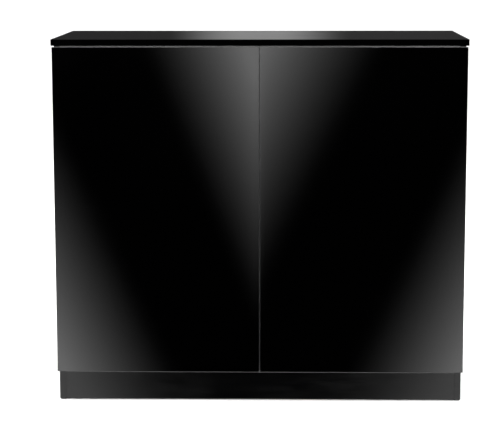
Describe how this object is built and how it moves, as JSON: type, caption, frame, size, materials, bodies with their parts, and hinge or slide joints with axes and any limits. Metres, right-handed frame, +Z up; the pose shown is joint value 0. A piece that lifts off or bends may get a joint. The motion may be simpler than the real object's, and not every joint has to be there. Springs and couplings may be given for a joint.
{
  "type": "aquarium stand cabinet",
  "caption": "Gloss black aquarium stand cabinet with two full-height handleless doors on concealed hinges, a recessed plinth and a flat worktop that carries the tank.",
  "frame": {"origin": "on the floor, under the middle of the worktop", "axes": "+X to the right seen from the front, +Y from the doors to the back, +Z up"},
  "size_m": [1, 0.44, 0.89],
  "materials": {
    "gloss_black_board": "high-gloss black lacquered board",
    "satin_black_board": "satin black faced board",
    "black_hardboard": "matt black faced hardboard",
    "beech_dowel": "plain turned beech",
    "black_plastic": "matt moulded plastic",
    "grey_plastic": "matt moulded plastic",
    "zinc_plated_steel": "bright zinc plated",
    "nickel_plated_steel": "satin nickel plated"
  },
  "bodies": {
    "cabinet": {"worktop": "gloss_black_board", "left_side_panel": "gloss_black_board", "right_side_panel": "gloss_black_board", "base_panel": "satin_black_board", "centre_partition": "satin_black_board", "left_front_rail": "satin_black_board", "right_front_rail": "satin_black_board", "left_rear_rail": "satin_black_board", "right_rear_rail": "satin_black_board", "front_plinth": "gloss_black_board", "rear_plinth": "satin_black_board", "plinth_brace": "satin_black_board", "left_back_panel": "black_hardboard", "right_back_panel": "black_hardboard", "left_shelf": "satin_black_board", "shelf_pins": "nickel_plated_steel", "floor_glides": "black_plastic", "dowels": "beech_dowel", "long_dowels": "beech_dowel", "cam_locks": "zinc_plated_steel", "cam_bolts": "nickel_plated_steel", "back_panel_screws": "zinc_plated_steel", "upper_left_mounting_plate": "nickel_plated_steel", "lower_left_mounting_plate": "nickel_plated_steel", "upper_right_mounting_plate": "nickel_plated_steel", "lower_right_mounting_plate": "nickel_plated_steel", "upper_left_hinge_arm": "nickel_plated_steel", "lower_left_hinge_arm": "nickel_plated_steel", "upper_right_hinge_arm": "nickel_plated_steel", "lower_right_hinge_arm": "nickel_plated_steel", "left_arm_pivot_pins": "zinc_plated_steel", "right_arm_pivot_pins": "zinc_plated_steel", "mounting_plate_screws": "zinc_plated_steel", "hinge_arm_screws": "zinc_plated_steel", "left_latch_housing": "grey_plastic", "right_latch_housing": "grey_plastic", "latch_screws": "zinc_plated_steel"},
    "left_inner_link_set": {"left_inner_links": "nickel_plated_steel"},
    "left_door": {"left_door_panel": "gloss_black_board", "upper_left_hinge_cup": "nickel_plated_steel", "lower_left_hinge_cup": "nickel_plated_steel", "left_cup_screws": "zinc_plated_steel", "left_cup_pivot_pins": "zinc_plated_steel", "left_strike_plate": "zinc_plated_steel", "left_strike_screw": "zinc_plated_steel"},
    "left_outer_link_set": {"left_outer_links": "nickel_plated_steel"},
    "left_plunger": {"left_latch_plunger": "black_plastic"},
    "right_inner_link_set": {"right_inner_links": "nickel_plated_steel"},
    "right_door": {"right_door_panel": "gloss_black_board", "upper_right_hinge_cup": "nickel_plated_steel", "lower_right_hinge_cup": "nickel_plated_steel", "right_cup_screws": "zinc_plated_steel", "right_cup_pivot_pins": "zinc_plated_steel", "right_strike_plate": "zinc_plated_steel", "right_strike_screw": "zinc_plated_steel"},
    "right_outer_link_set": {"right_outer_links": "nickel_plated_steel"},
    "right_plunger": {"right_latch_plunger": "black_plastic"}
  },
  "joints": [
    {"name": "left_inner_link_swing", "type": "hinge", "parent": "cabinet", "child": "left_inner_link_set", "pos_m": [-0.446, -0.1893, 0.4735], "axis": [0, 0, 1], "range_deg": [0, 23.01]},
    {"name": "left_door_swing", "type": "hinge", "parent": "left_inner_link_set", "child": "left_door", "pos_m": [-0.4842, -0.205, 0.4735], "axis": [0, 0, -1], "range_deg": [0, 117.61]},
    {"name": "left_outer_link_swing", "type": "hinge", "parent": "cabinet", "child": "left_outer_link_set", "pos_m": [-0.4685, -0.21, 0.4735], "axis": [0, 0, 1], "range_deg": [0, 46.67]},
    {"name": "left_latch_push", "type": "slide", "parent": "cabinet", "child": "left_plunger", "axis": [0, -1, 0], "range_m": [0, 0.012]},
    {"name": "right_inner_link_swing", "type": "hinge", "parent": "cabinet", "child": "right_inner_link_set", "pos_m": [0.446, -0.1893, 0.4735], "axis": [0, 0, -1], "range_deg": [0, 23.01]},
    {"name": "right_door_swing", "type": "hinge", "parent": "right_inner_link_set", "child": "right_door", "pos_m": [0.4842, -0.205, 0.4735], "axis": [0, 0, 1], "range_deg": [0, 117.61]},
    {"name": "right_outer_link_swing", "type": "hinge", "parent": "cabinet", "child": "right_outer_link_set", "pos_m": [0.4685, -0.21, 0.4735], "axis": [0, 0, -1], "range_deg": [0, 46.67]},
    {"name": "right_latch_push", "type": "slide", "parent": "cabinet", "child": "right_plunger", "axis": [0, -1, 0], "range_m": [0, 0.012]}
  ],
  "couplings": [
    {"joint": "left_inner_link_swing", "follows": "left_door_swing", "ratio": 0.19225},
    {"joint": "left_outer_link_swing", "follows": "left_door_swing", "ratio": 0.39338},
    {"joint": "left_latch_push", "follows": "left_door_swing", "m_per_rad": 0.00584},
    {"joint": "right_inner_link_swing", "follows": "right_door_swing", "ratio": 0.19225},
    {"joint": "right_outer_link_swing", "follows": "right_door_swing", "ratio": 0.39338},
    {"joint": "right_latch_push", "follows": "right_door_swing", "m_per_rad": 0.00584}
  ]
}
